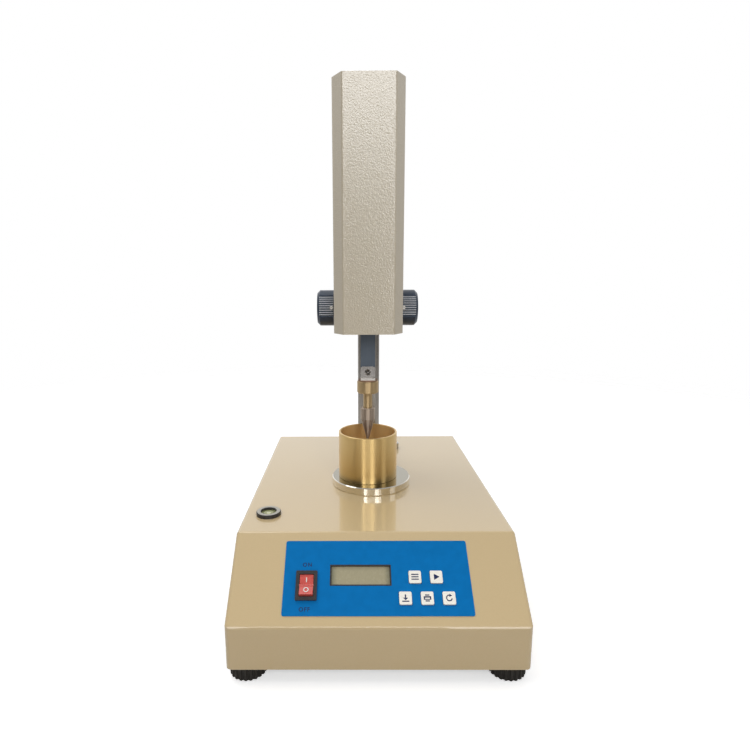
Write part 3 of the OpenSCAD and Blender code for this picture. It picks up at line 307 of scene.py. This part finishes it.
# One material to each slot of the record
MATERIALS = {
    "beige_paint": hammered_paint("beige_paint", rgb(212, 188, 144), 700, 0.06 * MM, (0.3, 0.36),
                                  Coat_Weight=1.0, Coat_Roughness=0.06, Coat_IOR=1.6,
                                  Specular_IOR_Level=0.25),
    "panel_blue": finish("panel_blue", rgb(8, 115, 185), 0.05, 160, rough=(0.42, 0.52),
                         bump=0.02 * MM, bump_scale=1800, Specular_IOR_Level=0.05),
    "key_white": finish("key_white", rgb(254, 248, 238), 0.03, 300, rough=(0.38, 0.5),
                        bump=0.01 * MM, bump_scale=2500),
    "rocker_red": finish("rocker_red", rgb(210, 86, 78), 0.06, 350, rough=(0.25, 0.35)),
    "black_plastic": finish("black_plastic", rgb(43, 38, 40), 0.15, 500, rough=(0.42, 0.55),
                            bump=0.02 * MM, bump_scale=3000,
                            wear_and_sheen=(rgb(70, 65, 66), 0.6 * MM, 1.0)),
    "black_rubber": finish("black_rubber", rgb(26, 22, 15), 0.2, 400, rough=(0.55, 0.75),
                           bump=0.04 * MM, bump_scale=1800,
                           wear_and_sheen=(rgb(70, 61, 46), 0.6 * MM, 1.2)),
    "knob_black": knob_black(),
    "display_grey": display_face(),
    "level_green": finish("level_green", rgb(152, 156, 104), 0.1, 250, rough=(0.05, 0.1)),
    "chrome": finish("chrome", rgb(198, 195, 189), 0.03, 200, rough=(0.06, 0.11), metal=1.0),
    "polished_steel": steel("polished_steel", rgb(156, 150, 142), (0.24, 0.34)),
    "plain_steel": steel("plain_steel", rgb(176, 177, 176), (0.3, 0.42)),
    "cone_steel": turned("cone_steel", rgb(186, 170, 154), (0.5, 0.56)),
    "cast_grey": finish("cast_grey", rgb(84, 86, 88), 0.12, 250, rough=(0.5, 0.65),
                        bump=0.1 * MM, bump_scale=500),
    "brass": turned("brass", rgb(200, 175, 134), (0.5, 0.56)),
    "strip_dark": finish("strip_dark", rgb(86, 96, 108), 0.08, 1200, ALONG, (0.4, 0.5), 0.3),
    "board_green": finish("board_green", rgb(34, 92, 58), 0.12, 300, rough=(0.3, 0.4)),
    "aluminium": steel("aluminium", rgb(196, 198, 200), (0.3, 0.4)),
    "guide_white": finish("guide_white", rgb(226, 224, 216), 0.04, 300, rough=(0.4, 0.5)),
    "winding": finish("winding", rgb(150, 96, 48), 0.15, 1600, AROUND, (0.4, 0.5),
                      bump=0.08 * MM, bump_scale=1600, bump_stretch=AROUND),
}

# Materials of single nodes and of the pieces that are added here
CUP_BRASS = cup_brass()
BRIGHT_CLIP = clip_steel()
WASHER_BROWN = finish("washer_brown", rgb(150, 116, 92), 0.08, 600, rough=(0.35, 0.45), metal=0.4)
HEAD_PAINT = hammered_paint("head_paint", rgb(212, 200, 177), 850, 0.22 * MM, (0.16, 0.22),
                            Specular_IOR_Level=1.0, IOR=1.7)
# Level ring: black, with pale grey painted on its top faces as a painted reflection
RING_BLACK = painted_top_reflection(finish("ring_black", rgb(44, 41, 41), 0.15, 500, rough=(0.3, 0.4)),
                    rgb(176, 173, 162))
# Sample stand: chrome, with a darker grey painted on its top face as a painted reflection
STAND_CHROME = painted_top_reflection(finish("stand_chrome", rgb(234, 229, 218), 0.03, 200, rough=(0.06, 0.11),
                             metal=1.0), rgb(170, 166, 154))
INK_DARK = finish("ink_dark", rgb(44, 54, 92), 0.1, 900, rough=(0.5, 0.6), Specular_IOR_Level=0.1)
INK_WHITE = finish("ink_white", rgb(236, 232, 226), 0.04, 900, rough=(0.4, 0.5))
# Flat dark marks in place of recesses, holes and slots are painted shade; the same dark also prints the target
# ring of the level
PAINTED_SHADE_AND_PRINT = finish("painted_shade_and_print", rgb(40, 38, 36), 0.15, 900, rough=(0.45, 0.6))
# Bubble of the level: an opaque pale dome, painted as its highlight
BUBBLE_HIGHLIGHT = finish("bubble_painted_highlight", rgb(206, 208, 160), 0.05, 400, rough=(0.04, 0.08),
                Coat_Weight=1.0)

OWN_DRESS = {
    "head_cover": HEAD_PAINT,
    "sample_cup": CUP_BRASS,
    "hanger": BRIGHT_CLIP,
    "collar_washer": WASHER_BROWN,
    "level_ring": RING_BLACK,
    "sample_stand": STAND_CHROME,
}
for node_name, node_object in NODES.items():
    dress = OWN_DRESS.get(node_name, MATERIALS[SLOT_OF[node_name]])
    node_object.data.materials.clear()
    node_object.data.materials.append(dress)


# Placing of small pieces on the faces of the frame's nodes
UP = (0, 0, 1)
BACK_OUT = (0, 1, 0)
RIGHT = Vector((1, 0, 0))
SLOPE_OUT = -Vector(JOINT["key_set_press"]["axis"])

# Points this near to the outermost one lie on the same face
FLAT = 0.02 * MM

# Half the thickness of a printed mark
PRINT = 0.03 * MM


def frame_at(centre, right, rise, out):
    """Matrix with the given columns."""
    place = Matrix.Identity(4)
    for column, vector in enumerate((right, rise, out, centre)):
        for row in range(3):
            place[row][column] = vector[row]
    return place


def outer_points(node, out):
    """The points of a node that lie furthest along a direction."""
    points = [vertex.co for vertex in NODES[node].data.vertices]
    level = max(point.dot(out) for point in points)
    return level, [point for point in points if level - point.dot(out) < FLAT]


def face_place(node, normal, up=UP):
    """Frame on the outermost face of a node: its columns run right, up and out of the face."""
    out = Vector(normal).normalized()
    right = Vector(up).cross(out).normalized()
    rise = out.cross(right)
    level, face = outer_points(node, out)
    centre = out * level
    for axis in (right, rise):
        along = [point.dot(axis) for point in face]
        centre += axis * (min(along) + max(along)) / 2
    return frame_at(centre, right, rise, out)


def shift(place, right=0.0, rise=0.0, out=0.0):
    """Place moved within its own face."""
    return place @ Matrix.Translation((right, rise, out))


# Outlines and profiles
def circle(radius, count=40, centre=(0, 0)):
    """Points round a circle."""
    turn = 2 * math.pi / count
    return [(centre[0] + radius * math.cos(k * turn), centre[1] + radius * math.sin(k * turn))
            for k in range(count)]


def bar(width, height, centre=(0, 0)):
    """Corners of a rectangle."""
    x, y = centre
    return [(x - width / 2, y - height / 2), (x + width / 2, y - height / 2),
            (x + width / 2, y + height / 2), (x - width / 2, y + height / 2)]


def arc_band(radius, width, start, end, count=24):
    """Outline of a band along an arc."""
    turns = [math.radians(start + (end - start) * k / count) for k in range(count + 1)]
    outer, inner = radius + width / 2, radius - width / 2
    return ([(outer * math.cos(a), outer * math.sin(a)) for a in turns]
            + [(inner * math.cos(a), inner * math.sin(a)) for a in reversed(turns)])


def cross(size):
    """Outline of a cross recess, whose arms taper a little towards their ends."""
    root, end, tip = size / 8, size / 10, size / 2
    quarter = [(root, root), (tip, end), (tip, -end)]
    outline = []
    for _ in range(4):
        outline += quarter
        quarter = [(y, -x) for x, y in quarter]
    return outline


def dome(radius, height, count=8):
    """Profile of a shallow dome, from its rim to its top."""
    steps = [math.pi / 2 * k / count for k in range(count + 1)]
    return [(radius * math.cos(a), height * math.sin(a)) for a in steps]


def scaled(outline):
    """Outline given in millimetres."""
    return [(x * MM, y * MM) for x, y in outline]


# Small pieces
def place_piece(name, mesh, place, material, body):
    """Object from a mesh at its place, riding on a body."""
    mesh.materials.clear()
    mesh.materials.append(material)
    piece = bpy.data.objects.new(name, mesh)
    bpy.context.scene.collection.objects.link(piece)
    piece.matrix_world = place
    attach(piece, body)
    return piece


def as_piece(curve, place, material, body):
    """Curve turned into a mesh piece."""
    holder = bpy.data.objects.new(curve.name + "_curve", curve)
    bpy.context.scene.collection.objects.link(holder)
    bpy.context.view_layer.update()
    graph = bpy.context.evaluated_depsgraph_get()
    mesh = bpy.data.meshes.new_from_object(holder.evaluated_get(graph))
    bpy.data.objects.remove(holder)
    mesh.name = curve.name
    return place_piece(curve.name, mesh, place, material, body)


def sign(name, outlines, place, material, body):
    """Flat raised sign from closed outlines in mm; an outline inside another is a hole."""
    curve = bpy.data.curves.new(name, "CURVE")
    curve.dimensions = "2D"
    curve.fill_mode = "BOTH"
    curve.extrude = PRINT
    for outline in outlines:
        spline = curve.splines.new("POLY")
        spline.points.add(len(outline) - 1)
        for point, (x, y) in zip(spline.points, scaled(outline)):
            point.co = (x, y, 0, 1)
        spline.use_cyclic_u = True
    return as_piece(curve, place, material, body)


def lettering(name, words, size, place, material, body):
    """Raised words, centred on their place, a little bolder and wider than in their font."""
    curve = bpy.data.curves.new(name, "FONT")
    curve.body = words
    curve.size = size
    curve.align_x = "CENTER"
    curve.align_y = "CENTER"
    curve.extrude = PRINT
    curve.offset = size / 50
    curve.space_character = 1.2
    return as_piece(curve, place, material, body)


def lathe(name, profile, place, material, body, count=48):
    """Round piece from a profile of radius and height in mm, closed where the radius is nought."""
    verts, faces = [], []
    for k in range(count):
        turn = 2 * math.pi * k / count
        verts += [(r * math.cos(turn), r * math.sin(turn), h) for r, h in scaled(profile)]
    rows = len(profile)
    for k in range(count):
        here, after = k * rows, (k + 1) % count * rows
        faces += [(here + j, after + j, after + j + 1, here + j + 1) for j in range(rows - 1)]
    mesh = bpy.data.meshes.new(name)
    mesh.from_pydata(verts, [], faces)
    mesh.validate()
    for polygon in mesh.polygons:
        polygon.use_smooth = True
    piece = place_piece(name, mesh, place, material, body)
    weld = piece.modifiers.new("weld", "WELD")
    weld.merge_threshold = 0.001 * MM
    return piece


# Marks on the panel, placed from the middle of the switch
LETTERS = 4 * MM
panel_face = face_place("panel_overlay", SLOPE_OUT)
switch_face = face_place("switch_body", SLOPE_OUT)


def on_panel(right_of_switch, above_switch):
    """Place on the panel's face, measured from the middle of the switch."""
    gap = (switch_face.translation - panel_face.translation).dot(SLOPE_OUT)
    return shift(switch_face, right_of_switch, above_switch, -gap)


lettering("mark_on", "ON", LETTERS, on_panel(0, 15 * MM), INK_DARK, "base")
lettering("mark_off", "OFF", LETTERS, on_panel(-0.8 * MM, -16.2 * MM), INK_DARK, "base")


# Marks on the rocker
def rocker_face(side):
    """Place on the middle of one half of the rocker: side is 1 above its pivot and -1 below."""
    overlap, by_pivot, end_points = 0.2 * MM, 1.2 * MM, 8
    pivot = Vector(JOINT["rocker_tilt"]["pos_m"])
    rise = SLOPE_OUT.cross(RIGHT)

    def height(point):
        return (point - pivot).dot(rise)

    def stand_out(point):
        return (point - pivot).dot(SLOPE_OUT)

    points = [vertex.co for vertex in NODES["rocker"].data.vertices]
    half = [point for point in points if height(point) * side > -overlap]
    ends = sorted(half, key=lambda point: -height(point) * side)
    far = max(ends[:end_points], key=stand_out)
    near = max((point for point in half if abs(height(point)) < by_pivot), key=stand_out)
    up = (far - near) * side
    up.x = 0
    up.normalize()
    centre = (far + near) / 2
    centre.x = pivot.x
    return frame_at(centre, RIGHT, up, RIGHT.cross(up))


sign("rocker_mark_i", [bar(0.7, 3.4)], rocker_face(1), INK_WHITE, "rocker")
sign("rocker_mark_o", [circle(1.9), circle(1.25)], rocker_face(-1), INK_WHITE, "rocker")

# Signs on the keys, in place of words: list, go, save, printer and back to start
KEY_SIGNS = {
    "key_set": [bar(5.2, 0.8, (0, y)) for y in (1.7, 0, -1.7)],
    "key_start": [[(-1.7, -2.2), (2.3, 0), (-1.7, 2.2)]],
    "key_store": [bar(5, 0.8, (0, -2.2)),
                  [(-0.45, 2.4), (-0.45, 0.2), (-1.8, 0.2), (0, -1.5), (1.8, 0.2), (0.45, 0.2),
                   (0.45, 2.4)]],
    "key_print": [bar(5.2, 2.4), bar(3.4, 0.9, (0, -0.2)), bar(3, 0.8, (0, 2)),
                  bar(3, 0.8, (0, -2))],
    "key_reset": [arc_band(1.9, 0.8, 80, 350) + [(0.05, 0.8), (2.2, 1.55), (0.2, 3)]],
}
for key_name, key_outlines in KEY_SIGNS.items():
    sign(key_name + "_sign", key_outlines, face_place(key_name, SLOPE_OUT), INK_DARK, key_name)

# Spirit level: bubble, painted pale as a highlight, and target ring
vial_low, vial_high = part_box("level_vial")
vial_middle = (vial_low + vial_high) / 2
vial_top = Matrix.Translation((vial_middle.x, vial_middle.y, vial_high.z))
lathe("level_bubble", [(0, -0.3)] + dome(2, 0.35),
      shift(vial_top, right=0.3 * MM, rise=-1.8 * MM, out=-0.05 * MM), BUBBLE_HIGHLIGHT, "base")
# Printed target ring on the vial
lathe("level_target", [(4.6, -0.2), (4.6, 0.05), (4.3, 0.08), (4.3, -0.2), (4.6, -0.2)],
      shift(vial_top, out=-0.08 * MM), PAINTED_SHADE_AND_PRINT, "base")

# Painted shade in the recesses of the screw heads
sign("hanger_screw_socket_shade", [circle(1.7), circle(0.8, count=6)],
     face_place("hanger_screw", (0, -1, 0)), PAINTED_SHADE_AND_PRINT, "cone")


def screw_heads(node, normal, up, reach):
    """Place on each head of a group of screws, on the face that looks along the normal."""
    out = Vector(normal)
    groups = []
    for point in outer_points(node, out)[1]:
        for group in groups:
            if (group[0] - point).length < reach:
                group.append(point)
                break
        else:
            groups.append([point])
    right = Vector(up).cross(out).normalized()
    places = []
    for group in groups:
        middle = [(min(p[i] for p in group) + max(p[i] for p in group)) / 2 for i in range(3)]
        places.append(frame_at(Vector(middle), right, out.cross(right), out))
    return places


def cross_recess_shades(name, node, normal, up, size, body):
    """Painted shade of cross recesses, of a size in mm, in every head of a node's screws."""
    for count, place in enumerate(screw_heads(node, normal, up, 2 * size * MM)):
        sign(f"{name}_{count}", [cross(size)], place, PAINTED_SHADE_AND_PRINT, body)


for side_name, side_sign in SIDES.items():
    cross_recess_shades("cover_screw_recess_" + side_name, "cover_screws", (side_sign, 0, 0), UP, 2.6,
                   "head")
cross_recess_shades("plate_screw_recess_shade", "plate_screws", (0, 0, -1), (0, 1, 0), 3.6, "base")


# Grub screws in the knobs
def grub_screws():
    """A grub screw in the front of each knob, near the head."""
    tilt, from_head = math.radians(3), 1.7 * MM
    profile = [(0, -1.5), (1.5, -1.5), (1.5, 0.1), (1.3, 0.25), (0.6, 0.25), (0.5, -0.6), (0, -0.6)]
    axis = Vector(JOINT["knob_turn"]["pos_m"])
    out = Vector((0, -math.cos(tilt), math.sin(tilt)))
    for name, side in SIDES.items():
        low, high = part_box("knob_" + name)
        inner = min(abs(low.x - axis.x), abs(high.x - axis.x)) + from_head
        at = axis + RIGHT * side * inner + out * (high.z - low.z) / 2
        lathe("knob_grub_" + name, profile, frame_at(at, RIGHT, out.cross(RIGHT), out),
              BRIGHT_CLIP, "knobs", count=24)


grub_screws()


# Details of the back
def inlet_screws():
    """The two screws that hold the mains inlet, with the painted shade of their recesses."""
    from_middle, head_top = 20 * MM, 1.48 * MM
    head = [(0, 0), (2.9, 0), (2.9, 0.5), (2.1, 1.3), (0, 1.5)]
    inlet_face = face_place("power_inlet", BACK_OUT)
    for name, side in SIDES.items():
        place = shift(inlet_face, side * from_middle)
        lathe("inlet_screw_" + name, head, place, MATERIALS["plain_steel"], "base",
              count=24)
        sign("inlet_screw_recess_shade_" + name, [cross(2.4)], shift(place, out=head_top), PAINTED_SHADE_AND_PRINT,
             "base")


def port_hole_shades():
    """Painted shade of the nine holes of the printer port, in a row of five over a row of four."""
    pitch, row, radius = 2.77, 1.42, 0.6
    middles = [((k - (count - 1) / 2) * pitch, height)
               for count, height in ((5, row), (4, -row)) for k in range(count)]
    sign("port_hole_shades", [circle(radius, 12, middle) for middle in middles],
         face_place("printer_port", BACK_OUT), PAINTED_SHADE_AND_PRINT, "base")


inlet_screws()
port_hole_shades()
# Painted shade of the slot in the fuse holder
sign("fuse_slot_shade", [bar(8, 1.4)], face_place("fuse_holder", BACK_OUT), PAINTED_SHADE_AND_PRINT, "base")


# Camera, light and floor
def make_camera():
    """Camera at the photograph's viewpoint."""
    level = math.cos(CAMERA_PITCH)
    forward = Vector((math.sin(CAMERA_YAW) * level, math.cos(CAMERA_YAW) * level,
                      -math.sin(CAMERA_PITCH)))
    right = Vector((math.cos(CAMERA_YAW), -math.sin(CAMERA_YAW), 0))
    up = right.cross(forward)
    tilted = right * math.cos(CAMERA_ROLL) + up * math.sin(CAMERA_ROLL)
    raised = up * math.cos(CAMERA_ROLL) - right * math.sin(CAMERA_ROLL)
    data = bpy.data.cameras.new("camera")
    data.lens = CAMERA_LENS
    data.sensor_width = CAMERA_SENSOR
    data.sensor_fit = "HORIZONTAL"
    data.shift_x, data.shift_y = CAMERA_SHIFT
    data.clip_start = 10 * MM
    camera = bpy.data.objects.new("camera", data)
    bpy.context.scene.collection.objects.link(camera)
    camera.matrix_world = frame_at(CAMERA_AT, tilted, raised, -forward)
    bpy.context.scene.camera = camera


def make_lamp(name, place, target, size, power):
    """Soft rectangular lamp that looks at a point."""
    data = bpy.data.lights.new(name, "AREA")
    data.shape = "RECTANGLE"
    data.size, data.size_y = size
    data.energy = power
    lamp = bpy.data.objects.new(name, data)
    bpy.context.scene.collection.objects.link(lamp)
    lamp.location = place
    lamp.rotation_euler = (Vector(target) - Vector(place)).to_track_quat("-Z", "Y").to_euler()


def make_world():
    """Room that is white above and behind the object and darker on the camera's side."""
    bright_side, dark, light = (0, 1, 0.7), 0.08, 0.72
    room_span, mirror_span = (-0.15, 0.85), (0.35, 0.95)
    world = bpy.data.worlds.new("room")
    bpy.context.scene.world = world
    world.use_nodes = True
    tree = world.node_tree
    back = tree.nodes["Background"]
    ray = add(tree, "LightPath").outputs
    towards = add(tree, "TexCoord").outputs["Generated"]
    bright = vector_of(tree, "DOT_PRODUCT", towards, bright_side)
    room = ramp(tree, bright, *room_span, dark, light)
    shown = math_of(tree, "MAXIMUM", ray["Is Glossy Ray"], ray["Is Transmission Ray"])
    mirrored = math_of(tree, "MULTIPLY", shown, ramp(tree, bright, *mirror_span))
    level = math_of(tree, "MAXIMUM", room, mirrored)
    level = math_of(tree, "MAXIMUM", level, ray["Is Camera Ray"])
    back.inputs["Color"].default_value = (1, 1, 1, 1)
    tree.links.new(level, back.inputs["Strength"])


def make_floor():
    """Round pale floor that fades into the white room and can be looked through from below."""
    solid, gone, glow = 0.75, 1.3, 0.4
    lit, seen_as = (0.17, 0.145, 0.1, 1), (0.95, 0.95, 0.95, 1)
    material, tree, shader = new_material("floor_pale")
    ray = add(tree, "LightPath").outputs
    seen = math_of(tree, "MAXIMUM", ray["Is Camera Ray"], ray["Is Glossy Ray"])
    seen = math_of(tree, "MAXIMUM", seen, ray["Is Transmission Ray"])
    tree.links.new(mixed(tree, seen, lit, seen_as), shader.inputs["Base Color"])
    shader.inputs["Emission Color"].default_value = (1, 1, 1, 1)
    tree.links.new(math_of(tree, "MULTIPLY", ray["Is Camera Ray"], glow),
                   shader.inputs["Emission Strength"])
    shader.inputs["Roughness"].default_value = 0.9
    shader.inputs["Specular IOR Level"].default_value = 0.0
    far = vector_of(tree, "LENGTH", place_on(tree))
    fade = ramp(tree, far, solid, gone, interpolation_type="SMOOTHSTEP")
    below = add(tree, "NewGeometry").outputs["Backfacing"]
    mix = add(tree, "MixShader", {0: math_of(tree, "MAXIMUM", fade, below),
                                  1: shader.outputs["BSDF"],
                                  2: add(tree, "BsdfTransparent").outputs["BSDF"]})
    tree.links.new(mix.outputs["Shader"], tree.nodes["Material Output"].inputs["Surface"])
    mesh = bpy.data.meshes.new("floor")
    rim = [(x, y, 0) for x, y in circle(gone, count=96)]
    mesh.from_pydata(rim, [], [tuple(range(len(rim)))])
    mesh.materials.append(material)
    floor = bpy.data.objects.new("floor", mesh)
    bpy.context.scene.collection.objects.link(floor)


make_camera()
make_world()
make_floor()
MIDDLE = (0, 0, 0.2)
make_lamp("lamp_top", (-0.7, 0.2, 1.6), MIDDLE, (1.2, 1.2), 7.8)
make_lamp("lamp_front_high", (0.08, -1.5, 1.12), (0, 0, 0.3), (1.5, 0.7), 11.6)
make_lamp("lamp_strip_left", (-0.43, -1.38, 0.42), MIDDLE, (0.2, 0.6), 1.5)
make_lamp("lamp_strip_right", (0.38, -1.38, 0.42), MIDDLE, (0.26, 0.6), 1.9)
make_lamp("lamp_side_right", (1.25, -0.62, 0.6), MIDDLE, (0.4, 0.8), 1.2)

bpy.context.scene.view_settings.view_transform = "Standard"
